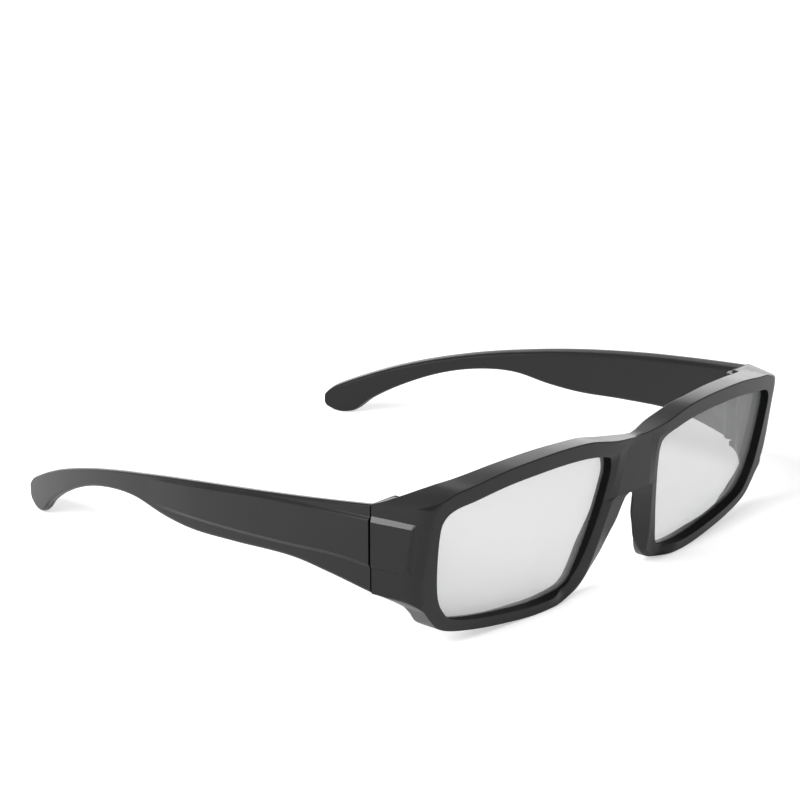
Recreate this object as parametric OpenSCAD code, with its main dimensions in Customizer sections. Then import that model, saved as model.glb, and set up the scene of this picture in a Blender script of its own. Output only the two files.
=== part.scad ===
// Polarised 3D viewing glasses with folding temples.
// Millimetres. The front faces -Y, the temples run to +Y and the glasses stand on z = 0.

/* [Lens openings] */
// Width of each lens opening
lens_w = 54.5; // [51:0.1:57]
// Height of each lens opening
lens_h = 34.5; // [32:0.1:37]
// Distance between the two lens openings
bridge_w = 19.6; // [18:0.2:23]
// How far the lens lies behind the front of the rim
lens_recess = 2.8; // [2.4:0.1:2.9]
// Depth of the groove that holds the lens edge
groove_depth = 1; // [0.7:0.1:1.2]
// Play between a lens and the walls of its groove
lens_play = 0.05; // [0.02:0.01:0.1]

/* [Lens layers] */
// Thickness of the quarter-wave film at the front
retarder_t = 0.1; // [0.06:0.01:0.16]
// Thickness of the polarising film in the middle
polariser_t = 0.2; // [0.12:0.01:0.3]
// Thickness of the clear sheet that backs both films
backing_t = 0.4; // [0.3:0.01:0.6]

/* [Front] */
// Depth of the front from its face to its back
front_depth = 4.8; // [4.4:0.1:6]
// Radius to which the front is bent
front_bend = 380; // [300:5:600]
// Lean of the front, its top forward
front_tilt = 9; // [6:0.5:11]
// Width of the rim above a lens
rim_top = 4; // [3.2:0.1:5]
// Width of the rim below a lens
rim_bottom = 2.6; // [2:0.1:3.6]
// Width of the rim at the outer side of a lens
rim_outer = 4; // [3.4:0.1:5]
// How far the bridge's top edge dips below the brow
bridge_dip = 3.3; // [1:0.1:6]
// Height of the nose arch
arch_h = 22.6; // [20:0.2:25]
// Width of the nose arch at its foot
arch_w = 25; // [22:0.2:27]
// Distance of the nose ridge from the middle at its foot
ridge_x = 13.6; // [12.6:0.1:14.4]
// How far the ridge leans to the bridge over its height
ridge_lean = 21; // [16:0.5:23]
// Fall of the ridge to the nose
nose_fall = 12; // [8:0.5:16]
// Fall of the ridge to the lens
lens_fall = 13; // [8:0.5:20]
// Thickness of the nose pads at their edge
pad_edge = 1.2; // [0.8:0.1:2]
// Opening of the nose pads towards the back
pad_splay = 50; // [35:1:56]

/* [End pieces] */
// Half of the width at the split between the front and a temple
hinge_x = 73.5; // [72.6:0.1:75]
// Distance of that split behind the front's foot
hinge_back = 12.9; // [12:0.1:15]
// Outward flare of an end piece
end_flare = 22; // [16:0.5:26]
// Radius of the corner between the front and an end piece
corner_r = 4.6; // [2:0.2:5]
// Slope of an end piece's underside
under_slope = 15; // [8:1:24]
// Fall of the raised panel to the front on an end piece
panel_dip = 4.4; // [2:0.2:6]
// How far the raised panel stands off the side face
panel_proud = 0.6; // [0.3:0.05:0.9]

/* [Temples] */
// Height of the temples' top edge at the hinge
temple_top = 35.8; // [35.2:0.1:36.6]
// Height of a temple at the hinge
temple_h = 20.2; // [18.6:0.1:22]
// Height of a temple at its belly
belly_h = 13.4; // [11.5:0.1:15]
// Height of a temple at its waist
waist_h = 5; // [4.2:0.1:6]
// Height of the hooked end
hook_h = 9.8; // [8:0.1:11.5]
// Height of the hooked end above the floor
hook_lift = 0.6; // [0:0.1:2]
// Length of a temple
temple_len = 134.5; // [120:0.5:145]
// Thickness of a temple at the hinge
temple_t = 3.6; // [3.2:0.1:4]
// Thickness of a temple at its end
tip_t = 3; // [2.4:0.1:3.6]
// Bow of a temple outward from the hinge
bow_out = 2.8; // [0.5:0.1:5]
// How far the end lies inward from the hinge
tip_in = 16; // [10:0.5:20]
// Steady fall of the top edge over the whole length
temple_fall = 14; // [11:0.5:16]
// Rounding of the temple's edges
edge_r = 0.8; // [0.4:0.1:1.1]
// How far a temple's top falls inward
top_fall = 0.9; // [0.6:0.1:1.2]
// Height of the plain band above the raised panel
band_top = 3.3; // [2.6:0.1:5]
// Height of the plain band below the raised panel
band_bottom = 5.9; // [4:0.1:7]

/* [Hinges] */
// Radius of the hinge pin
pin_r = 0.75; // [0.6:0.05:0.9]
// Play of the pin in the ears of the front
pin_press = 0.02; // [0.01:0.01:0.04]
// Play of the pin in the temple's knuckle
pin_play = 0.05; // [0.03:0.01:0.1]
// Radius of the hinge barrels
barrel_r = 2; // [1.7:0.1:2.1]
// Height of the temple's knuckle
knuckle_h = 8.6; // [6:0.2:10]
// Height of each ear of the front
ear_h = 4.4; // [3:0.1:4.8]
// Play between the knuckle and the ears
knuckle_play = 0.15; // [0.1:0.05:0.3]
// Play around the barrels and between the butting faces
barrel_play = 0.25; // [0.2:0.05:0.4]

/* [Hidden] */
$fn = 96;
steps = 4;
lens_t = retarder_t + polariser_t + backing_t;
groove_w = lens_t + 2 * lens_play;
lens_in = bridge_w / 2;
front_top = rim_bottom + lens_h + rim_top;
bridge_top = front_top - bridge_dip;
end_in = lens_in + lens_w + 1;
temple_y = hinge_back + barrel_play;
hinge_px = hinge_x - temple_t - barrel_play - barrel_r;
hinge_py = temple_y + barrel_play;
hinge_z = temple_top - temple_h / 2;
ear_z = hinge_z - knuckle_h / 2 - knuckle_play - ear_h;
pin_h = knuckle_h + 2 * (knuckle_play + ear_h);
panel_low = temple_top - temple_h + band_bottom;
panel_high = temple_top - band_top;
hook_at = 0.94;
hook_bend = 3.6;
tip_round = 1;
hook_drop = (temple_top - temple_fall * hook_at - hook_h - hook_lift) / pow(hook_at, hook_bend);
panel_end = 0.52;
low_rise = 1.4;
low_fall = 5.6;
high_fall = 20.5;
corner_lean = atan(tan(end_flare) * tan(front_tilt));
far = 60;
bridge_lip = 0.9;

// A point on the smooth curve between b and c, which also heeds the points a and d
function bend(a, b, c, d, t) = 0.5 * (2 * b + (c - a) * t + (2 * a - 5 * b + 4 * c - d) * t * t
    + (3 * b - a - 3 * c + d) * t * t * t);

// A smooth closed curve through points
function ring(p) = let (n = len(p))
    [for (i = [0 : n - 1], k = [0 : steps - 1])
        bend(p[(i + n - 1) % n], p[i], p[(i + 1) % n], p[(i + 2) % n], k / steps)];

// A smooth open curve from the second of the points to the last but one
function path(p) = [for (i = [1 : len(p) - 3], k = [0 : steps - 1])
    bend(p[i - 1], p[i], p[i + 1], p[i + 2], k / steps)];

// The outward direction at one point of a closed curve
function outward(p, i) = let (n = len(p), d = p[(i + 1) % n] - p[(i + n - 1) % n])
    [d[1], -d[0]] / norm(d);

// A closed curve moved outward
function grown(p, by) = [for (i = [0 : len(p) - 1]) p[i] + by * outward(p, i)];

function mirrored(p) = [for (i = [len(p) - 1 : -1 : 0]) [-p[i][0], p[i][1]]];

// The rim's width at an edge that faces the direction d
function rim(d) = (d[1] > 0 ? rim_top : rim_bottom) * d[1] * d[1] + rim_outer * d[0] * d[0];

// How far the bent front lies behind its middle
function sag(x) = front_bend - sqrt(front_bend * front_bend - x * x);

// The left lens opening seen from the front, as shares of its own width and height,
// from the nose side down and around
lens_shape = [
    [0.009, 0.691], [0.026, 0.552], [0.05, 0.399], [0.079, 0.257], [0.107, 0.143], [0.14, 0.057],
    [0.203, 0.016], [0.368, 0], [0.571, 0.028], [0.737, 0.065], [0.866, 0.114], [0.924, 0.19],
    [0.965, 0.306], [0.989, 0.503], [1, 0.749], [0.987, 0.857], [0.936, 0.912], [0.829, 0.938],
    [0.663, 0.978], [0.479, 0.996], [0.331, 1], [0.184, 0.987], [0.064, 0.952], [0.015, 0.914], [0, 0.822]
];
lens_edge = ring([for (p = lens_shape) [lens_in + p[0] * lens_w, rim_bottom + p[1] * lens_h]]);
rim_edge = [for (i = [0 : len(lens_edge) - 1]) let (d = outward(lens_edge, i)) lens_edge[i] + rim(d) * d];

// The left half of the front's outline: the nose arch, the rim below and beside the lens,
// the corner over the end piece, the brow and half of the bridge
foot_at = 6 * steps;
side_at = 14 * steps;
corner_at = 16 * steps;
brow_at = 21 * steps;
arch = [for (p = [[-0.072, 0.96], [0, 1], [0.072, 0.96], [0.147, 0.89], [0.232, 0.76], [0.352, 0.6],
    [0.51, 0.432], [0.72, 0.27], [1, 0.108]]) [p[0] * arch_w / 2, p[1] * arch_h]];
corner = [lens_in + lens_w + rim_outer, temple_top];
brow_end = rim_edge[brow_at];
dip = [brow_end[0] / 2, bridge_top + 0.32 * (brow_end[1] - bridge_top)];
half_front = concat(
    path(concat(arch, [rim_edge[foot_at], rim_edge[foot_at + steps]])),
    [for (i = [foot_at : side_at]) rim_edge[i]],
    [corner],
    [for (i = [corner_at : brow_at - 1]) rim_edge[i]],
    path([rim_edge[brow_at - steps], brow_end, dip, [0, bridge_top], [-dip[0], dip[1]]]));
front_edge = concat(half_front, [[0, bridge_top]],
    [for (p = mirrored(half_front)) if (p[0] < -0.01) p]);

// The middle of the whole part along Y, which is its origin
front_y = min([for (p = front_edge) sag(p[0]) / cos(front_tilt) - p[1] * tan(front_tilt)]);
mid_y = (front_y + temple_y + temple_len) / 2;

// An outline seen from the front, drawn out along Y
module seen_from_front(p, from, to) {
    translate([0, to, 0]) rotate([90, 0, 0]) linear_extrude(to - from) polygon(p);
}

// An outline seen from the side, as points of y and z, drawn out along X
module seen_from_side(p, from, to) {
    translate([from, 0, 0]) rotate([90, 0, 90]) linear_extrude(to - from) polygon(p);
}

// Everything behind a surface that lies the given depth inside the bent front
module behind(depth) {
    rotate([front_tilt, 0, 0]) translate([0, front_bend, -far])
        cylinder(r = front_bend - depth, h = 3 * far, $fn = 360);
}

// What lies from one distance to another behind the plane y = a x + b z + c
module from_plane(a, b, c, from, to) {
    turn = atan(a);
    translate([0, c, 0]) rotate([atan(-b * cos(turn)), 0, turn])
        translate([-far, from, -far]) cube([2 * far, to - from, 2 * far]);
}

module sheet(p, depth, t) {
    difference() {
        intersection() {
            seen_from_front(p, -far / 2, far / 2);
            behind(depth);
        }
        behind(depth + t);
    }
}

module both_sides() {
    children();
    mirror([1, 0, 0]) children();
}

// The bent plate with its back thickened towards the upper part of the end pieces
module plate() {
    fillet_from = lens_in + 0.68 * lens_w;
    fillet_to = end_in + 1;
    fillet_r = 40;
    difference() {
        seen_from_front(front_edge, -far / 2, far / 2);
        behind(front_depth);
    }
    both_sides() intersection() {
        seen_from_front(half_front, -far / 2, far / 2);
        rotate([front_tilt, 0, 0]) translate([0, 0, panel_low]) linear_extrude(far) polygon(concat(
            [[fillet_to, 0], [fillet_from, 0]],
            [for (k = [0 : 8]) let (u = (fillet_to - fillet_from) * k / 8, x = fillet_from + u)
                [x, sag(x) + front_depth + u * u / 2 / fillet_r]]));
    }
}

// The facets that fall away from the nose ridge: to the nose below the bridge, and to the lens. Above
// the bridge's lower edge the ridge stands upright.
module nose_facets() {
    lean = tan(ridge_lean);
    fall = -tan(front_tilt);
    // the ridge's place at the floor, and the heights between which the facets are cut
    at = ridge_x + 0.31 * arch_h * lean;
    ridge_y = sag(ridge_x) / 2;
    low = rim_bottom + 0.09 * lens_h;
    high = rim_bottom + 0.92 * lens_h;
    bridge_low = arch_h + bridge_lip;
    to_nose = -tan(nose_fall);
    to_lens = tan(lens_fall);
    intersection() {
        from_plane(to_nose, fall + to_nose * lean, ridge_y - to_nose * at, -far, 0);
        translate([0, -far / 2, 0]) cube([at, far, bridge_low]);
    }
    intersection() {
        from_plane(to_lens, fall + to_lens * lean, ridge_y - to_lens * at, -far, 0);
        translate([0, -far / 2, low]) cube([at, far, bridge_low - low]);
    }
    intersection() {
        from_plane(to_lens, fall, ridge_y - to_lens * (at - lean * bridge_low), -far, 0);
        translate([0, -far / 2, bridge_low]) cube([at, far, high - bridge_low]);
    }
}

// The slope behind a nose pad, from the edge of the arch outward to the back
module pad_slope() {
    low = arch[7];
    high = arch[3];
    lean = (low[0] - high[0]) / (high[1] - low[1]);
    at = low[0] + low[1] * lean;
    open = 1 / tan(pad_splay);
    edge_y = (ridge_x - low[0]) * tan(nose_fall) + pad_edge;
    intersection() {
        from_plane(open, open * lean - tan(front_tilt), edge_y - open * at, 0, far);
        translate([0, -far / 2, 0]) cube([at + front_depth, far, far]);
    }
}

// One end piece's side face and rounded front corner, grown by the panel's height
module end_side(by) {
    // the plane of the side face at the floor, and the front's tangent beside it
    face = [cos(end_flare), -sin(end_flare)];
    face_at = [hinge_x, hinge_back] * face + by;
    turn = asin((hinge_x - corner_r) / front_bend);
    front = [sin(turn), -cos(turn)];
    front_at = [hinge_x - corner_r, sag(hinge_x - corner_r)] * front + by;
    // the corner's middle lies corner_r inside both, a little ahead, so that the arc crosses the front
    ahead = 0.15;
    inside = [face_at - corner_r - by, front_at - corner_r - by + ahead];
    det = face[0] * front[1] - face[1] * front[0];
    mid = [inside[0] * front[1] - face[1] * inside[1], face[0] * inside[1] - inside[0] * front[0]] / det;
    from = turn - 90;
    to = -end_flare;
    arc = [for (k = [0 : 8]) let (a = from + (to - from) * k / 8)
        mid + (corner_r + by) * [cos(a), sin(a)]];
    back = [-face[1], face[0]] * far;
    rotate([front_tilt, 0, 0]) rotate([0, -corner_lean, 0])
        linear_extrude(far) polygon(concat([[lens_in, arc[0][1] - far / 2]], arc,
            [arc[8] + back, [lens_in, arc[8][1] + back[1]]]));
}

// The underside of an end piece, which falls forward into the rim and slopes down inward
module under_end() {
    low = temple_top - temple_h;
    // straight for a stretch ahead of the split, then bent down
    straight = 7;
    reach = 18;
    fall = [for (k = [-1 : reach]) let (b = max(0, k - straight))
        [hinge_back - k, low - 0.3 * max(0, k) - 0.15 * b * b]];
    translate([hinge_x, 0, low]) rotate([0, -under_slope, 0]) translate([0, 0, -low])
        seen_from_side(concat([[hinge_back - reach, -far], [hinge_back + 1, -far]], fall), -far / 2, far / 3);
}

module end_piece() {
    difference() {
        union() {
            intersection() {
                end_side(0);
                translate([end_in, -far / 2, 0]) cube([far, far / 2 + hinge_back, temple_top]);
            }
            intersection() {
                end_side(panel_proud);
                behind(0.35 * corner_r);
                translate([end_in, -far / 2, 0]) cube([far, far / 2 + hinge_back, temple_top]);
                translate([end_in, hinge_back, panel_low]) rotate([panel_dip, 0, 0])
                    translate([0, -far, 0]) cube([far, 2 * far, panel_high - panel_low]);
            }
        }
        under_end();
    }
}

// Room for the hinge behind the corner, under a thin roof over the upper ear
module hinge_room() {
    room = barrel_r + 2 * barrel_play;
    translate([0, hinge_py - room, 0]) cube([hinge_x - temple_t, far, ear_z + pin_h + barrel_play]);
}

// A hinge ear: a barrel with a web to the corner in front of it
module ear(z) {
    translate([hinge_px, hinge_py, z]) difference() {
        union() {
            cylinder(r = barrel_r, h = ear_h);
            translate([-barrel_r, -barrel_r - 3 * barrel_play, 0])
                cube([2 * barrel_r + 2 * barrel_play, barrel_r + 2 * barrel_play, ear_h]);
        }
        translate([0, 0, -1]) cylinder(r = pin_r + pin_press, h = ear_h + 2);
    }
}

module front_frame() color([0.05, 0.05, 0.055]) translate([0, -mid_y, 0]) {
    difference() {
        intersection() {
            behind(0);
            union() {
                intersection() {
                    plate();
                    both_sides() union() {
                        translate([-1, -far / 2, 0]) cube([lens_in + 0.9 * lens_w, far, far]);
                        end_side(0);
                    }
                }
                both_sides() end_piece();
            }
        }
        both_sides() {
            seen_from_front(lens_edge, -far / 2, far / 2);
            sheet(grown(lens_edge, groove_depth), lens_recess, groove_w);
            nose_facets();
            pad_slope();
            hinge_room();
        }
    }
    both_sides() {
        ear(ear_z);
        ear(ear_z + ear_h + knuckle_h + 2 * knuckle_play);
    }
}

// One layer of a lens, the given distance behind the front face of its groove
module lens_layer(after, t) {
    translate([0, -mid_y, 0])
        sheet(grown(lens_edge, groove_depth - lens_play), lens_recess + lens_play + after, t);
}

module left_retarder_film() color([0.7, 0.72, 0.72, 0.4]) lens_layer(0, retarder_t);

module left_polariser_film() color([0.3, 0.31, 0.31, 0.6]) lens_layer(retarder_t, polariser_t);

module left_lens_backing() color([0.8, 0.82, 0.82, 0.4]) lens_layer(retarder_t + polariser_t, backing_t);

module right_retarder_film() mirror([1, 0, 0]) left_retarder_film();

module right_polariser_film() mirror([1, 0, 0]) left_polariser_film();

module right_lens_backing() mirror([1, 0, 0]) left_lens_backing();

// A smooth value at s between points of place and value
function smooth(p, s, i = 0) = i < len(p) - 2 && s > p[i + 1][0] ? smooth(p, s, i + 1) :
    let (a = p[max(i - 1, 0)], b = p[i], c = p[i + 1], d = p[min(i + 2, len(p) - 1)],
        w = c[0] - b[0], t = (s - b[0]) / w,
        m = w * (c[1] - a[1]) / (c[0] - a[0]), n = w * (d[1] - b[1]) / (d[0] - b[0]))
    b[1] + t * (m + t * (3 * (c[1] - b[1]) - 2 * m - n + t * (2 * (b[1] - c[1]) + m + n)));

// A temple's height along its length: deep at the hinge, a belly, a waist, a hooked end
function arm_h(s) = smooth([[0, temple_h], [0.08, 1.27 * belly_h], [0.165, 1.09 * belly_h], [0.3, belly_h],
    [0.4, 0.92 * belly_h], [0.48, 0.75 * belly_h], [0.56, 1.31 * waist_h], [0.64, 1.02 * waist_h],
    [0.73, waist_h], [0.82, 1.25 * waist_h], [0.9, 0.91 * hook_h], [hook_at, hook_h],
    [0.954, 0.92 * hook_h], [0.969, 0.76 * hook_h], [0.984, 0.54 * hook_h], [0.995, 0.31 * hook_h],
    [1, 0.12 * hook_h]], s);

function arm_top(s) = temple_top - temple_fall * s - hook_drop * pow(s, hook_bend)
    - tip_round * pow(max(0, 1 - (1 - s) / 0.03), 3);

// Its outer side in plan: two parabolas that meet where it is widest
widest = 0.27;
function arm_x(s) = hinge_x + bow_out - (s < widest ? bow_out * pow(1 - s / widest, 2) :
    (bow_out + tip_in) * pow((s - widest) / (1 - widest), 2));

// The two ledges of the raised panel, lower and upper
function ledge_low(s) = panel_low + low_rise * (1 - pow(max(0, 1 - s / 0.1), 2)) - low_fall * s;

function ledge_high(s) = panel_high - high_fall * s * s;

// One cross-section of a temple at s, around from the inner foot: the raised panel lies between the
// ledges and dies away towards its end, and the top falls inward, as the foot does beside the hinge
function arm_section(s) = let (h = arm_h(s), top = arm_top(s), foot = top - h,
        t = temple_t + (tip_t - temple_t) * s, r = min(edge_r, 0.2 * h), q = 0.3 * r, e = min(0.3, 0.06 * h),
        in_top = top - min(top_fall, 0.2 * h), in_foot = foot - top_fall * max(0, 1 - s / 0.3),
        mid = top - h / 2, least = e + 0.02,
        low = min(max(ledge_low(s), foot + r + e), mid - least),
        high = max(min(ledge_high(s), top - r - e), mid + least),
        proud = panel_proud * max(0, min(1, (panel_end - s) / 0.12)),
        x = arm_x(s), y = temple_y + temple_len * s)
    [for (p = [[r - t, in_foot], [-r, foot], [-q, foot + q], [0, foot + r], [0, low - e], [proud, low + e],
            [proud, high - e], [0, high + e], [0, top - r], [-q, top - q], [-r, top],
            [r - t, in_top], [q - t, in_top - q], [-t, in_top - r], [-t, in_foot + r], [q - t, in_foot + q]])
        [x + p[0], y, p[1]]];

arm_at = concat([for (k = [0 : 36]) 0.9 * k / 36],
    [0.915, 0.93, 0.94, 0.95, 0.96, 0.969, 0.977, 0.984, 0.99, 0.995, 1]);

module arm() {
    n = 16;
    last = (len(arm_at) - 1) * n;
    polyhedron(
        points = [for (s = arm_at) each arm_section(s)],
        faces = concat(
            [for (i = [0 : len(arm_at) - 2], k = [0 : n - 1]) let (a = i * n + k, b = i * n + (k + 1) % n)
                each [[a, b, b + n], [a, b + n, a + n]]],
            [[for (k = [n - 1 : -1 : 0]) k], [for (k = [0 : n - 1]) last + k]]));
}

// The temple's knuckle between the two ears, with a web into the arm
module knuckle() {
    web_y = 2 * barrel_r;
    translate([hinge_px, hinge_py, hinge_z - knuckle_h / 2]) difference() {
        union() {
            cylinder(r = barrel_r, h = knuckle_h);
            linear_extrude(knuckle_h) polygon([[0, -barrel_play], [barrel_r + 2, -barrel_play],
                [barrel_r + 2, 2 * web_y], [barrel_r + barrel_play, 2 * web_y],
                [-barrel_r * cos(45), barrel_r * sin(45)]]);
        }
        translate([0, 0, -1]) cylinder(r = pin_r + pin_play, h = knuckle_h + 2);
    }
}

module left_temple() color([0.05, 0.05, 0.055]) translate([0, -mid_y, 0]) {
    arm();
    knuckle();
}

module right_temple() mirror([1, 0, 0]) left_temple();

module left_hinge_pin() color([0.75, 0.75, 0.77])
    translate([hinge_px, hinge_py - mid_y, ear_z]) {
        chamfer = 0.2;
        translate([0, 0, chamfer]) cylinder(r = pin_r, h = pin_h - 2 * chamfer);
        cylinder(r1 = pin_r - chamfer, r2 = pin_r, h = chamfer);
        translate([0, 0, pin_h - chamfer]) cylinder(r1 = pin_r, r2 = pin_r - chamfer, h = chamfer);
    }

module right_hinge_pin() mirror([1, 0, 0]) left_hinge_pin();

front_frame();
left_retarder_film();
left_polariser_film();
left_lens_backing();
right_retarder_film();
right_polariser_film();
right_lens_backing();
left_temple();
right_temple();
left_hinge_pin();
right_hinge_pin();
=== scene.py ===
import math

import bmesh
import bpy
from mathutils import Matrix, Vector


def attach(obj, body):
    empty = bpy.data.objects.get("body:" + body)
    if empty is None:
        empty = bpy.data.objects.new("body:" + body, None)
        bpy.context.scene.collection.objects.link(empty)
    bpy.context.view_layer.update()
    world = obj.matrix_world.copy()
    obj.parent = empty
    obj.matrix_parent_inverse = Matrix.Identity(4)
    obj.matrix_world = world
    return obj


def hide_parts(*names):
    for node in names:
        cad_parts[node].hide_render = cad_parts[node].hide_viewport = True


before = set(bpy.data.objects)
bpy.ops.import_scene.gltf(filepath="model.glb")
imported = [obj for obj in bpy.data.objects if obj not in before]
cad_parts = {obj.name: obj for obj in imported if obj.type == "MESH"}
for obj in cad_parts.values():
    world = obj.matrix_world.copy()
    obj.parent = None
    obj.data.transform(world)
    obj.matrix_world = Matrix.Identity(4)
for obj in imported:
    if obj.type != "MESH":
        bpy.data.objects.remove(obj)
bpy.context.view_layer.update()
scene = bpy.context.scene
scene.view_settings.view_transform = "Standard"


# The set: a pale floor under even white studio light, and a long lens that looks down at the
# wearer's right side. The glasses stand on the rims' lower edges, with the temples' hooked ends
# just clear of the floor.
class Socket:
    """A shader socket that takes part in sums and products of values."""

    def __init__(self, tree, out):
        self.tree = tree
        self.out = out

    def node(self, kind, settings=None, **inputs):
        """A new node of a kind, with its settings first and then its sockets' values or links.

        A socket goes by its label, or by its place where labels repeat: i0, i1 and so on.
        """
        made = self.tree.nodes.new(kind)
        for name, value in (settings or {}).items():
            setattr(made, name, value)
        for name, value in inputs.items():
            by_place = name[0] == "i" and name[1:].isdigit()
            place = int(name[1:]) if by_place else name.replace("_", " ")
            if isinstance(value, Socket):
                self.tree.links.new(value.out, made.inputs[place])
            else:
                made.inputs[place].default_value = value
        return made

    def get(self, kind, out=0, settings=None, **inputs):
        """The chosen output of a new node."""
        return Socket(self.tree, self.node(kind, settings, **inputs).outputs[out])

    def mixed(self, first, second):
        """A colour between two, by this socket's value."""
        return self.get("ShaderNodeMix", 2, {"data_type": "RGBA"}, Factor=self,
                        i6=(*first, 1), i7=(*second, 1))

    def maths(self, operation, a, b):
        return self.get("ShaderNodeMath", 0, {"operation": operation}, i0=a, i1=b)

    def __add__(self, other):
        return self.maths("ADD", self, other)

    def __radd__(self, other):
        return self.maths("ADD", other, self)

    def __sub__(self, other):
        return self.maths("SUBTRACT", self, other)

    def __rsub__(self, other):
        return self.maths("SUBTRACT", other, self)

    def __mul__(self, other):
        return self.maths("MULTIPLY", self, other)

    def __rmul__(self, other):
        return self.maths("MULTIPLY", other, self)


def shader_tree(owner):
    """An emptied shader tree and a starting point for its nodes."""
    owner.use_nodes = True
    owner.node_tree.nodes.clear()
    return Socket(owner.node_tree, None)


# the camera sees a white backdrop, and the glasses a dimmer sky
WHITE, SKY_LEVEL = (1, 1, 1, 1), 0.42
world = bpy.data.worlds.new("studio")
scene.world = world
start = shader_tree(world)
backdrop = start.get("ShaderNodeLightPath", "Is Camera Ray")
sky = start.get("ShaderNodeBackground", Color=WHITE,
                Strength=SKY_LEVEL + backdrop * (1 - SKY_LEVEL))
start.node("ShaderNodeOutputWorld", Surface=sky)


def stand(made, place, aim):
    """Puts a lamp or the camera in its place and turns it to what it is aimed at."""
    scene.collection.objects.link(made)
    made.location = place
    made.rotation_mode = "QUATERNION"
    made.rotation_quaternion = (Vector(aim) - made.location).to_track_quat("-Z", "Y")


def softbox(name, place, width, height, level):
    """A white panel of light that faces the glasses, of an even brightness."""
    lamp = bpy.data.lights.new(name, "AREA")
    lamp.shape = "RECTANGLE"
    lamp.size, lamp.size_y = width, height
    lamp.energy = level * width * height * math.pi
    stand(bpy.data.objects.new(name, lamp), place, (0, 0, 0.02))


softbox("side_softbox", (-1.15, 0.05, 0.8), 0.9, 0.8, 11)
softbox("back_softbox", (0.9, 1.6, 0.4), 3, 0.8, 2.2)

# the floor looks white to the camera and through the lenses, and less so in the plastic's gloss
FLOOR_LIFT, GLOSS_SHARE = 0.5, 0.3
floor_mesh = bmesh.new()
bmesh.ops.create_grid(floor_mesh, x_segments=1, y_segments=1, size=6.0)
floor = bpy.data.objects.new("floor", bpy.data.meshes.new("floor"))
floor_mesh.to_mesh(floor.data)
floor_mesh.free()
scene.collection.objects.link(floor)
floor_paint = bpy.data.materials.new("floor_paint")
start = shader_tree(floor_paint)
straight = start.get("ShaderNodeLightPath", "Is Camera Ray")
through = start.get("ShaderNodeLightPath", "Is Transmission Ray")
glossy = start.get("ShaderNodeLightPath", "Is Glossy Ray")
seen = straight + through + glossy * GLOSS_SHARE
matt = start.get("ShaderNodeBsdfDiffuse", Color=(0.8, 0.8, 0.8, 1))
lift = start.get("ShaderNodeEmission", Color=WHITE, Strength=seen * FLOOR_LIFT)
both = start.get("ShaderNodeAddShader", i0=matt, i1=lift)
start.node("ShaderNodeOutputMaterial", Surface=both)
floor.data.materials.append(floor_paint)

camera = bpy.data.objects.new("camera", bpy.data.cameras.new("camera"))
stand(camera, (-0.4122, -0.3661, 0.1978), (-0.00791, -0.0083, 0.03434))
camera.data.sensor_width = 36
camera.data.lens = 101.7
scene.camera = camera


# The front: one moulding of black satin plastic, bent to a wide radius and leaning forward at the
# top. It is drawn as sections that run round the left lens opening, from the wall behind the
# lens over the face and the outer edge to the back, and mirrored at the bridge.
MM = 0.001
MID_Y = 70.822
FRONT_BEND, FRONT_LEAN, FRONT_DEPTH = 380, math.radians(9), 4.8
LENS_IN, LENS_W, LENS_H = 9.8, 54.5, 34.5
LENS_FRONT, LENS_BACK = 2.85, 3.55
RIM_TOP, RIM_BOTTOM, RIM_OUTER = 4, 2.6, 4
HINGE_X, HINGE_BACK = 73.5, 12.9
TEMPLE_TOP, TEMPLE_H, TEMPLE_T = 35.8, 20.2, 3.6
opening = [Vector((LENS_IN + u * LENS_W, RIM_BOTTOM + v * LENS_H)) for u, v in (
    (0.009, 0.691), (0.026, 0.552), (0.05, 0.399), (0.079, 0.257), (0.107, 0.143),
    (0.14, 0.057), (0.203, 0.016), (0.368, 0), (0.571, 0.028), (0.737, 0.065),
    (0.866, 0.114), (0.924, 0.19), (0.965, 0.306), (0.989, 0.503), (1, 0.749),
    (0.987, 0.857), (0.936, 0.912), (0.829, 0.938), (0.663, 0.978), (0.479, 0.996),
    (0.331, 1), (0.184, 0.987), (0.064, 0.952), (0.015, 0.914), (0, 0.822))]


def bend(a, b, c, d, t):
    """A smooth curve from b to c that heeds its neighbours a and d."""
    return 0.5 * (2 * b + (c - a) * t + (2 * a - 5 * b + 4 * c - d) * t * t
                  + (3 * b - a - 3 * c + d) * t ** 3)


def around(points, t):
    """A point on the smooth closed curve through points."""
    i = math.floor(t)
    n = len(points)
    return bend(*[points[(i + k) % n] for k in (-1, 0, 1, 2)], t - i)


def facing(t):
    """The outward direction at a place on the lens opening."""
    d = around(opening, t + 0.05) - around(opening, t - 0.05)
    return Vector((d.y, -d.x)).normalized()


def rim_at(t):
    """The rim's outer edge beside a place on the lens opening."""
    d = facing(t)
    width = (RIM_TOP if d.y > 0 else RIM_BOTTOM) * d.y ** 2 + RIM_OUTER * d.x ** 2
    return around(opening, t) + width * d


def at_depth(p, depth):
    """The point p of the front view, at a depth behind the front's face."""
    x, z = p
    sag = FRONT_BEND - math.sqrt(FRONT_BEND ** 2 - x * x)
    return Vector((x, sag / math.cos(FRONT_LEAN) - z * math.tan(FRONT_LEAN) + depth, z))


def smooth(points, s):
    """A smooth value at s between points of place and value."""
    last = len(points) - 1
    i = 0
    while i < last - 1 and s > points[i + 1][0]:
        i += 1
    a, b, c, d = points[max(i - 1, 0)], points[i], points[i + 1], points[min(i + 2, last)]
    w = c[0] - b[0]
    t = (s - b[0]) / w
    m = w * (c[1] - a[1]) / (c[0] - a[0])
    n = w * (d[1] - b[1]) / (d[0] - b[0])
    return b[1] + t * (m + t * (3 * (c[1] - b[1]) - 2 * m - n
                                + t * (2 * (b[1] - c[1]) + m + n)))


def clamped(x):
    """A share, kept between none and all."""
    return max(0.0, min(1.0, x))


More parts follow.
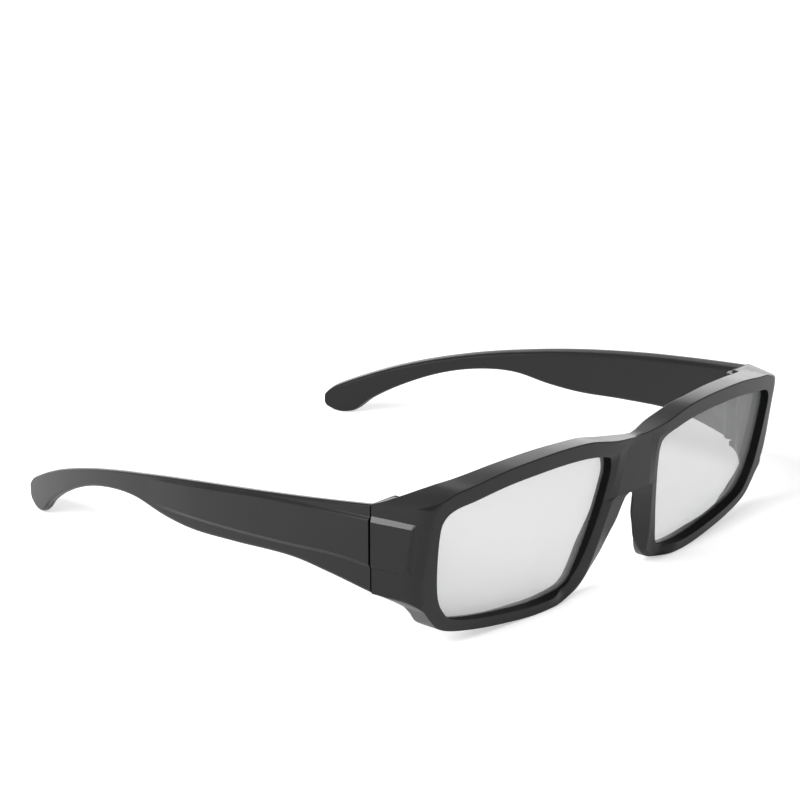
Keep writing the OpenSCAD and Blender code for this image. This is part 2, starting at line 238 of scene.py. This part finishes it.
def eased(corners, cuts, parts=4):
    """A closed outline with each corner cut back and rounded."""
    n = len(corners)
    made = []
    for i, corner in enumerate(corners):
        ends = []
        for k in (i - 1, (i + 1) % n):
            side = corners[k] - corner
            back = min(cuts[i], 0.96 * side.length * cuts[i] / (cuts[i] + cuts[k]))
            ends.append(corner + side * (back / max(side.length, 1e-6)))
        for k in range(parts + 1):
            s = k / parts
            made.append((1 - s) ** 2 * ends[0] + 2 * s * (1 - s) * corner + s * s * ends[1])
    return made


def closed_loop(bm, points):
    """A closed chain of edges through points given in millimetres."""
    verts = [bm.verts.new((p.x * MM, (p.y - MID_Y) * MM, p.z * MM)) for p in points]
    return [bm.edges.new((verts[i - 1], v)) for i, v in enumerate(verts)]


def skin(bm, sections, closed):
    """Skins a row of closed sections, ring to ring, and caps it if it isn't closed."""
    loops = [closed_loop(bm, s) for s in sections]
    for a, b in zip(loops, loops[1:] + loops[:1] if closed else loops[1:]):
        bmesh.ops.bridge_loops(bm, edges=a + b)
    if not closed:
        for cap in (loops[0], loops[-1]):
            bmesh.ops.contextual_create(bm, geom=cap)


def piece(name, bm, body, material, nodes, sharp=40):
    """A finished piece: merged, turned outward, and shaded smooth but for its sharp edges."""
    bmesh.ops.remove_doubles(bm, verts=bm.verts, dist=2e-6)
    bmesh.ops.recalc_face_normals(bm, faces=bm.faces)
    for face in bm.faces:
        face.smooth = True
    made = bpy.data.objects.new(name, bpy.data.meshes.new(name))
    bm.to_mesh(made.data)
    bm.free()
    made.data.set_sharp_from_angle(angle=math.radians(sharp))
    made.data.materials.append(material)
    scene.collection.objects.link(made)
    flat = made.modifiers.new("flat_faces", "WEIGHTED_NORMAL")
    flat.keep_sharp = True
    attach(made, body)
    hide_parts(*nodes)


# a fine spark-eroded grain, a faint unevenness of gloss, and painted shade: a near-black dull
# finish without gloss on the walls between the face and the lens
black_plastic = bpy.data.materials.new("black_plastic")
start = shader_tree(black_plastic)
place = start.get("ShaderNodeTexCoord", "Object")
grain = start.get("ShaderNodeTexNoise", Vector=place, Scale=5200.0, Detail=2.0, Roughness=0.6)
cloud = start.get("ShaderNodeTexNoise", Vector=place, Scale=90.0, Detail=3.0, Roughness=0.5)
bump = start.get("ShaderNodeBump", Strength=0.06, Distance=0.00003, Height=grain)
tint = cloud.mixed((0.0072, 0.0072, 0.0076), (0.0092, 0.0092, 0.0096))
satin = start.get("ShaderNodeBsdfPrincipled", Base_Color=tint, Normal=bump, IOR=1.4,
                  Roughness=0.22 + cloud * 0.1 + grain * 0.06)
# painted shade: a near-black diffuse without gloss, mixed in on the marked walls of the lens
# openings where shade falls
matt = start.get("ShaderNodeBsdfDiffuse", Color=(0.008, 0.008, 0.0085, 1))
wall = start.get("ShaderNodeAttribute", "Fac", {"attribute_name": "wall_painted_shade"})
both = start.get("ShaderNodeMixShader", Fac=wall * 0.9, i1=satin, i2=matt)
start.node("ShaderNodeOutputMaterial", Surface=both)

# where the nose ridge runs, and how the face falls back there and at the lens, by height
BRIDGE_LOW = 23.5
RIDGE_AT, RIDGE_LEAN = 8, 0.23
BRIDGE_HALF, BRIDGE_LEAN, BRIDGE_BACK = 6.4, 0.15, 0.5
RIDGE_FALL = ((2, 1.35), (5, 1.1), (9, 0.6), (14, 0.3), (23, 0), (40, 0))
LENS_FALL = ((2, 2), (5, 1.7), (9, 1.25), (14, 0.95), (23, 0.75), (40, 0.75))
# the slope behind the bridge, and the nose pads' lip, which thickens toward its foot
PAD_LEAN, PAD_AT, PAD_Y = 0.511, 12.12, 2.18
PAD_OPEN = 1 / math.tan(math.radians(50))
PAD_LIP, PAD_FOOT, FOOT_GROWTH = 0.2, 9, 0.35
# how much deeper the brow is than a plain rim, by the distance from the middle
BROW = ((-1.5, -0.85), (0, -1), (1.5, -0.85), (3.5, -0.3), (9, 0.9), (16, 0.8), (24, 0.3),
        (36, 0.8), (48, 1.2), (58, 2.6), (66, 4.4))
BROW_LOW = 31
# where the back thickens toward the end piece, and the deeper lower outer corner
END_FROM, END_SPREAD, CORNER_DEPTH = LENS_IN + 0.68 * LENS_W, 80, 1.6
# the raised panel: its height, its turned-out side, its slanting front edge and the step up to it
PANEL_PROUD, PANEL_TURN = 0.6, math.radians(22)
PANEL_LOW, PANEL_HIGH = TEMPLE_TOP - TEMPLE_H + 5.9, TEMPLE_TOP - 3.3
PANEL_FRONT, PANEL_SLANT = 3.3, 0.11
PANEL_STEP = (0.12, 0.5, 0.85, 1, 1, 1)
LEDGE, LOW_LEDGE, HIGH_LEDGE = 0.3, 0.45, 0.6
# the room for the hinge inside the end piece, and the roof over it
ROOM_X, ROOM_Y, ROOM_LOW, ROOM_HIGH = 65.4, 10.9, 16.45, 34.75
ROOF_X, ROOF_OUT, ROOF_LOW = 66, 67.9, 34
EDGE_ROUND, END_ROUND = 0.35, 3


def ridge_x(z):
    """The ridge leans to the bridge, and stands nearer to its middle above its lower edge."""
    if z < BRIDGE_LOW - 0.03:
        return RIDGE_AT + RIDGE_LEAN * (BRIDGE_LOW - z)
    return BRIDGE_HALF - BRIDGE_LEAN * (z - BRIDGE_LOW)


def flatter(x):
    """How far the lens, bent less than the front, comes forward toward its outer end."""
    return 0.6 * clamped((x - 38) / 26) ** 2


def back_of_front(x, z):
    """The depth of the front's back, with its brow, end pieces and lower outer corners."""
    brow = smooth(BROW, x)
    end = max(0.0, x - END_FROM) ** 2 / END_SPREAD * clamped((z - PANEL_LOW + 2) / 2)
    low = CORNER_DEPTH * clamped((x - 50) / 8) * clamped((68 - x) / 6)
    low *= clamped((PANEL_LOW - 1 - z) / 4)
    return FRONT_DEPTH + low + end + (brow - end) * clamped((z - BROW_LOW) / 5)


def edge_corner(toward, corner, side, long, proud):
    """The rounded corner from the face to the side, and the step up to a raised panel there."""
    fine = 40
    start = corner + (toward - corner).normalized() * long
    end = corner + (side - corner).normalized() * long
    curve = []
    for k in range(fine + 1):
        u = k / fine
        curve.append((1 - u) ** 2 * start + 2 * u * (1 - u) * corner + u * u * end)
    first = fine // 2
    if proud:
        ahead = [p for p in curve if p.y < PANEL_FRONT + PANEL_SLANT * (PANEL_HIGH - p.z)]
        first = min(fine - 2, len(ahead))
    made = [curve[round(first * k / 5)] for k in range(6)]
    for k, rise in enumerate(PANEL_STEP):
        i = round(first + 1 + (fine - first - 1) * k / 5)
        along = curve[min(fine, i + 1)] - curve[i - 1]
        made.append(curve[i] + Vector((along.y, -along.x, 0)).normalized() * proud * rise)
    return made


def toward_split(b, rear, back, end, split_z):
    """The rear edge and the back, drawn toward the split and the hinge's room behind it."""
    split = Vector((HINGE_X, HINGE_BACK, split_z))
    inner = HINGE_X - TEMPLE_T if ROOM_LOW < split_z < ROOM_HIGH else ROOM_X + 0.2
    behind = [Vector((x, y, split_z)) for x, y in (
        (inner, HINGE_BACK), (inner, ROOM_Y), (ROOM_X, ROOM_Y))]
    if b.x < ROOF_OUT and b.y > ROOF_LOW:
        split.z = TEMPLE_TOP
        behind[0] = Vector((ROOF_X, HINGE_BACK, TEMPLE_TOP - 0.1))
    return rear.lerp(split, end), [p.lerp(q, end) for p, q in zip(back, behind)]


def front_section(t, b, edge_d, end, split_z):
    """One section of the front, from the place t on the lens opening out to the edge b and back.

    Here a and b are points of the front view, and names in _d are depths behind the face.
    """
    a = around(opening, t)
    nose = clamped((24 - b.x) / 6)
    # the ridge between lens and edge, or the middle of a plain rim
    run = (a.x - ridge_x(a.y)) - (b.x - ridge_x(b.y))
    share = min(0.85, max(0.25, (ridge_x(b.y) - b.x) / max(run, 1e-6)))
    share = 0.5 + (share - 0.5) * nose
    ridge = b + (a - b) * (share + (0.85 - share) * end)
    crown = clamped((ridge.y - BRIDGE_LOW) / 13) * clamped(1 - b.x / 9.5)
    ridge_d = BRIDGE_BACK * crown + smooth(RIDGE_FALL, ridge.y) * nose
    lens_d = smooth(LENS_FALL, a.y) * clamped((36 - a.y) / 2.5) * nose
    on_ridge = at_depth(ridge, ridge_d)
    # a low crest beside the lens keeps the rim's bevel going up past the bridge
    crest = at_depth(a, lens_d).lerp(on_ridge, 0.45) - Vector((0, 0.45 * crown, 0))
    # the back: three points between the outer edge and the lens, thin at its lower outer corner
    pad_d = PAD_Y + PAD_OPEN * (b.x - PAD_AT + PAD_LEAN * b.y)
    if b.y < BRIDGE_LOW - 0.01:
        pad_d = edge_d + PAD_LIP + FOOT_GROWTH * max(0.0, PAD_FOOT - b.y)
    back_d = back_of_front(b.x, b.y)
    rear_d = back_d + (max(edge_d + PAD_LIP, min(back_d, pad_d)) - back_d) * nose
    splay = Vector(((back_d - rear_d) / PAD_OPEN, 0))
    inner_d = back_of_front(a.x, a.y) - 1.1 * nose * clamped((a.y - 13) / 8)
    thin = clamped((a.x - 34) / 10) * clamped((16 - a.y) / 3)
    inner_d += (LENS_BACK + 0.2 - inner_d) * thin
    back = []
    for k in (0.15, 0.45, 0.75):
        depth = back_d + (inner_d - back_d) * k ** (1 - 0.6 * thin)
        back.append(at_depth(b + splay + (a - b - splay) * k, depth))
    # the outer edge
    front, rear = at_depth(b, edge_d), at_depth(b, rear_d)
    proud, rear_cut = Vector((0, 0, 0)), 0.3
    if end > 0:
        rear, back = toward_split(b, rear, back, end, split_z)
        if end == 1 and PANEL_LOW < split_z < PANEL_HIGH:
            proud = Vector((math.cos(PANEL_TURN), -math.sin(PANEL_TURN), 0)) * PANEL_PROUD
    if b.x < 0.01:
        edge = [front.lerp(rear, k / 22) for k in range(12)]
        rear_cut = 0.001
    else:
        long = EDGE_ROUND + (END_ROUND - EDGE_ROUND) * clamped((end - 0.55) / 0.45)
        edge = edge_corner(on_ridge, front, rear, long, proud.length)
    # the wall of the opening, with the lens held in it
    lens_back = LENS_BACK + 0.1 - flatter(a.x)
    lens_front = LENS_FRONT - 0.1 - flatter(a.x)
    depths = (inner_d, min(inner_d - 0.1, lens_back), lens_front, lens_d)
    wall = [at_depth(a, d) for d in depths]
    corners = wall + [crest, on_ridge] + edge + [rear + proud] + back
    cuts = (0.25, 0.01, 0.01, 0.2, 0.3, 0.35) + (0.01,) * len(edge) + (rear_cut, 0.3, 0.3, 0.3)
    return eased(corners, cuts, 2)


# stations: place on the lens opening, outer edge in the front view where it isn't the plain rim
# (with its depth where it lies behind the face), share of the end piece, height at the split, and
# a corner or not
LOW_END = TEMPLE_TOP - TEMPLE_H - 0.4
stations = [(t, edge, 0, 0, corner) for t, edge, corner in (
    (23.3, (0, 37.5, 0.5), 1), (24, (0, 33, 0.35), 0), (24.6, (0, 28.5, 0.2), 0),
    (25.55, (0, 23.5), 1), (25.6, (0, 23.44, 0.75), 1), (26, (0, 23.2, 0.8), 1),
    (26.15, (1.2, 22.5, 0.85), 0), (26.35, (1.9, 20.5, 1.1), 0), (26.8, (2.9, 16.8, 1.4), 0),
    (27.4, (4.8, 13.1, 1.7), 0), (28.1, (6.8, 9.1, 2), 0), (29, (9.2, 6.1, 2.1), 0),
    (29.6, (11.2, 3.9, 2), 0), (30.1, (13.2, 2.2, 1.8), 0), (30.7, (16, 1.2, 1.3), 0))]
stations += [(t, None, 0, 0, 0) for t in (31.3, 32, 33, 34, 35, 35.5, 36, 36.4)]
stations += [
    (36.75, (65.6, 10.4), 0.12, LOW_END, 0), (36.95, (67.4, 12), 0.6, LOW_END, 0),
    (37.15, (68.6, 13.4), 1, LOW_END, 0), (37.35, (69.2, 15), 1, 16.4, 1),
    (37.37, (69.2, 15.1), 1, 16.5, 1), (37.55, (69.5, 16.9), 1, 18.2, 0),
    (37.85, (69.6, PANEL_LOW - 1.2), 1, PANEL_LOW - LOW_LEDGE, 1),
    (37.95, (69.6, PANEL_LOW - 0.6), 1, PANEL_LOW + LOW_LEDGE, 1),
    (38.6, (69.3, 26), 1, 27, 0),
    (39.1, (69, PANEL_HIGH - 1.5), 1, PANEL_HIGH - HIGH_LEDGE, 1),
    (39.2, (69, PANEL_HIGH - 0.5), 1, PANEL_HIGH + HIGH_LEDGE, 1),
    (39.7, (68.8, 34.2), 1, 34.7, 1), (39.75, (68.8, 34.3), 1, 34.8, 1),
    (40.4, (68.4, TEMPLE_TOP), 1, TEMPLE_TOP, 1), (40.8, (65, 36.8), 0.55, 34.9, 0)]
stations += [(t, None, 0, 0, 0) for t in (41.15, 41.5, 42, 43, 44, 45, 46)]
stations += [(47.2, (9.6, 38.65, 0.02), 0, 0, 0)]

sections = []
for i, (t, b, end, split_z, corner) in enumerate(stations):
    span = [stations[(i + k) % len(stations)] for k in (-1, 0, 1, 2)]
    next_t, next_b, next_end, next_z, next_corner = span[2]
    gap = next_t - t if next_t > t else next_t + len(opening) - t
    here = [Vector(k[1][:2]) if k[1] else rim_at(k[0]) for k in span]
    deep = [k[1][2] if k[1] and len(k[1]) > 2 else 0 for k in span]
    if corner:
        here[0] = 2 * here[1] - here[2]
        deep[0] = deep[1]
    if next_corner:
        here[3] = 2 * here[2] - here[1]
        deep[3] = deep[2]
    parts = 1 if gap < 0.15 else 4
    for s in (k / parts for k in range(parts)):
        on_rim = b is None and next_b is None
        edge = rim_at(t + gap * s) if on_rim else bend(*here, s)
        depth = max(0.0, bend(*deep, s)) if deep[1] else 0.0
        at_split = split_z + (next_z - split_z) * s if end and next_end else max(split_z, next_z)
        share = end + (next_end - end) * s
        sections.append(front_section(t + gap * s, edge, depth, share, at_split))

moulding = bmesh.new()
skin(moulding, sections, True)
# painted shade: the wall between the face and the lens is marked for the near-black dull finish,
# which stands in for the shade in the recess
moulding.verts.ensure_lookup_table()
wall_painted_shade = moulding.verts.layers.float.new("wall_painted_shade")
for i in range(len(sections)):
    for k in (6, 7, 8, 9):
        moulding.verts[i * len(sections[0]) + k][wall_painted_shade] = 1
# the wall at the bridge's middle is inside the moulding
inside = [f for f in moulding.faces if all(abs(v.co.x) < 1e-6 for v in f.verts)]
bmesh.ops.delete(moulding, geom=inside, context="FACES")
whole = moulding.verts[:] + moulding.edges[:] + moulding.faces[:]
bmesh.ops.mirror(moulding, geom=whole, axis="X", merge_dist=2e-6)

# the hinge ears: two barrels behind each corner, webbed to it, above and below the knuckle
HINGE_PX, HINGE_PY, HINGE_Z = 67.65, 13.4, TEMPLE_TOP - TEMPLE_H / 2
KNUCKLE_H, EAR_H, EAR_PLAY = 8.6, 4.4, 0.15
KNUCKLE_LOW, KNUCKLE_HIGH = HINGE_Z - KNUCKLE_H / 2, HINGE_Z + KNUCKLE_H / 2
PIN_R, PIN_PRESS = 0.75, 0.02
BARREL_R, BARREL_EASE = 2, 0.15
EAR_WEB = ((-1.9, -0.3), (-1.9, -2.75), (2.4, -2.75), (2.4, -1.2), (1.6, -1.2))


def barrel(bm, sign, low, high, hole):
    """A hinge barrel: a tube round the pin, with its outer rims eased."""
    rings = []
    for r, z in ((hole, low), (BARREL_R - BARREL_EASE, low), (BARREL_R, low + BARREL_EASE),
                 (BARREL_R, high - BARREL_EASE), (BARREL_R - BARREL_EASE, high), (hole, high)):
        turns = [k * math.pi / 16 for k in range(32)]
        rings.append([Vector((sign * HINGE_PX + r * math.cos(turn),
                              HINGE_PY + r * math.sin(turn), z)) for turn in turns])
    skin(bm, rings, True)


def web(bm, sign, outline, low, high):
    """A flat web beside a barrel."""
    skin(bm, [[Vector((sign * (HINGE_PX + u), HINGE_PY + v, z)) for u, v in outline]
              for z in (low, high)], False)


for sign in (1, -1):
    for low in (KNUCKLE_LOW - EAR_PLAY - EAR_H, KNUCKLE_HIGH + EAR_PLAY):
        barrel(moulding, sign, low, low + EAR_H, PIN_R + PIN_PRESS)
        web(moulding, sign, EAR_WEB, low + 0.05, low + EAR_H - 0.05)
piece("front", moulding, "front", black_plastic, ["front_frame"], 24)


# The lenses: circular polarisers, a grey polarising film between a clear sheet and a retarder film,
# laminated, cut out and snapped into the groove round each opening. They look pale and neutral.
LENS_TUCK = 0.9
RING_SHARES = (0.04, 0.3, 0.55, 0.8, 1)
clear_sheet = bpy.data.materials.new("lens_sheet")
start = shader_tree(clear_sheet)
place = start.get("ShaderNodeTexCoord", "Object")
haze = start.get("ShaderNodeTexNoise", Vector=place, Scale=45.0, Detail=2.0, Roughness=0.5)
tint = haze.mixed((0.55, 0.555, 0.555), (0.58, 0.585, 0.585))
film = start.get("ShaderNodeBsdfPrincipled", Base_Color=tint, Roughness=0.03 + haze * 0.03,
                 Alpha=0.355 + haze * 0.01, IOR=1.45)
start.node("ShaderNodeOutputMaterial", Surface=film)
turns = [k / 4 for k in range(4 * len(opening))]
lens_edge = [around(opening, t) + LENS_TUCK * facing(t) for t in turns]
middle = sum(lens_edge, Vector((0, 0))) / len(lens_edge)
for side, sign in (("left", 1), ("right", -1)):
    rings = []
    for depth, shares in ((LENS_FRONT, RING_SHARES), (LENS_BACK, RING_SHARES[::-1])):
        for share in shares:
            ring = [middle + (p - middle) * share for p in lens_edge]
            ring = [at_depth(p, depth - flatter(p.x)) for p in ring]
            rings.append([Vector((sign * p.x, p.y, p.z)) for p in ring])
    sheet = bmesh.new()
    skin(sheet, rings, False)
    nodes = [side + "_" + n for n in ("retarder_film", "polariser_film", "lens_backing")]
    piece(side + "_lens", sheet, "front", clear_sheet, nodes, 30)


# The temples: mouldings of the same plastic that taper from a deep butt at the hinge over a belly
# and a waist to a blunt hooked end. A raised panel on the outside dies away half way along, and a
# knuckle inside the butt turns on the hinge pin.
TEMPLE_Y, TEMPLE_LEN = HINGE_BACK + 0.25, 134.5
BELLY_H, WAIST_H, HOOK_H, HOOK_LIFT = 13.4, 5, 9.8, 0.6
TIP_T, BOW_OUT, TIP_IN, WIDEST = 3, 2.8, 16, 0.27
# the top falls straight and then bends down to the hook, and its inner edge lies lower
TEMPLE_FALL, TOP_FALL, HOOK_AT, HOOK_BEND = 14, 0.9, 0.94, 3.6
HOOK_DROP = (TEMPLE_TOP - TEMPLE_FALL * HOOK_AT - HOOK_H - HOOK_LIFT) / HOOK_AT ** HOOK_BEND
WAIST_RISE, TIP_ROUND = 0.6, 0.03
# the panel's lower edge rises and then falls, and its upper edge bends down
LOW_RISE, LOW_FALL, HIGH_FALL, PANEL_END = 1.4, 5.6, 20.5, 0.52
PIN_PLAY = 0.05
KNUCKLE_WEB = ((0.9, 0.6), (0.9, -0.25), (4, -0.25), (4, 8), (2.25, 8), (-0.8, 1.8))
heights = [(0, TEMPLE_H + 0.4)]
heights += [(s, k * BELLY_H) for s, k in (
    (0.08, 1.29), (0.165, 1.09), (0.3, 1), (0.4, 0.92), (0.48, 0.75))]
heights += [(s, k * WAIST_H) for s, k in ((0.56, 1.31), (0.64, 1.02), (0.73, 1), (0.82, 1.26))]
heights += [(s, k * HOOK_H) for s, k in (
    (0.9, 0.85), (0.935, 1.05), (0.95, 1.03), (0.965, 0.96), (0.98, 0.83), (0.99, 0.68),
    (0.997, 0.54), (1, 0.42))]


def arm_section(s, sign):
    """One cross-section of a temple at the share s of its length."""
    h = smooth(heights, s)
    top = (TEMPLE_TOP - TEMPLE_FALL * s - HOOK_DROP * s ** HOOK_BEND
           - max(0, 1 - (1 - s) / TIP_ROUND) ** 3 + WAIST_RISE * clamped((s - 0.55) / 0.3))
    foot = top - h
    mid = top - h / 2
    thick = TEMPLE_T + (TIP_T - TEMPLE_T) * s
    r = min(0.8, 0.2 * h)
    ledge = min(LEDGE, 0.06 * h)
    low_ledge = 1.5 * ledge
    in_top = top - min(TOP_FALL, 0.2 * h)
    in_foot = foot - TOP_FALL * clamped(1 - s / 0.3)
    low = PANEL_LOW + LOW_RISE * (1 - clamped(1 - s / 0.1) ** 2) - LOW_FALL * s
    low = min(max(low, foot + r + low_ledge), mid - low_ledge - 0.02)
    high = max(min(PANEL_HIGH - HIGH_FALL * s * s, top - r - ledge), mid + ledge + 0.02)
    proud = PANEL_PROUD * clamped((PANEL_END - s) / 0.12)
    x = HINGE_X + BOW_OUT
    if s < WIDEST:
        x -= BOW_OUT * (1 - s / WIDEST) ** 2
    else:
        x -= (BOW_OUT + TIP_IN) * ((s - WIDEST) / (1 - WIDEST)) ** 2
    y = TEMPLE_Y + TEMPLE_LEN * s
    corners = [Vector((sign * (x + u), y, z)) for u, z in (
        (-thick, in_foot), (0, foot), (0, low - low_ledge), (proud, low + low_ledge),
        (proud, high - ledge), (0, high + ledge), (0, top), (-thick, in_top))]
    return eased(corners, (1.3 * r, 1.3 * r, 0.15, 0.15, 0.15, 0.15, 1.3 * r, 1.3 * r))


places = [0.9 * k / 60 for k in range(61)]
places += [0.91, 0.92, 0.93, 0.94, 0.948, 0.956, 0.963, 0.97, 0.976, 0.982, 0.987, 0.991, 0.995,
           0.998, 1]
for side, sign in (("left", 1), ("right", -1)):
    arm = bmesh.new()
    skin(arm, [arm_section(s, sign) for s in places], False)
    barrel(arm, sign, KNUCKLE_LOW, KNUCKLE_HIGH, PIN_R + PIN_PLAY)
    web(arm, sign, KNUCKLE_WEB, KNUCKLE_LOW + 0.1, KNUCKLE_HIGH - 0.1)
    piece(side + "_arm", arm, side + "_arm", black_plastic, [side + "_temple"])


# The hinge pins: short lengths of drawn steel wire pressed into the ears. Their solids are kept as
# they are, and the drawing of the wire shows as fine lines along it.
wire = bpy.data.materials.new("pin_steel")
start = shader_tree(wire)
place = start.get("ShaderNodeTexCoord", "Object")
along = start.get("ShaderNodeMapping", Vector=place, Scale=(9000, 9000, 120))
lines = start.get("ShaderNodeTexNoise", Vector=along, Scale=1.0, Detail=2.0)
steel = start.get("ShaderNodeBsdfPrincipled", Base_Color=(0.62, 0.62, 0.64, 1), Metallic=1.0,
                  Roughness=0.25 + lines * 0.2)
start.node("ShaderNodeOutputMaterial", Surface=steel)
for side in ("left", "right"):
    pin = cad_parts[side + "_hinge_pin"]
    pin.data.materials.clear()
    pin.data.materials.append(wire)
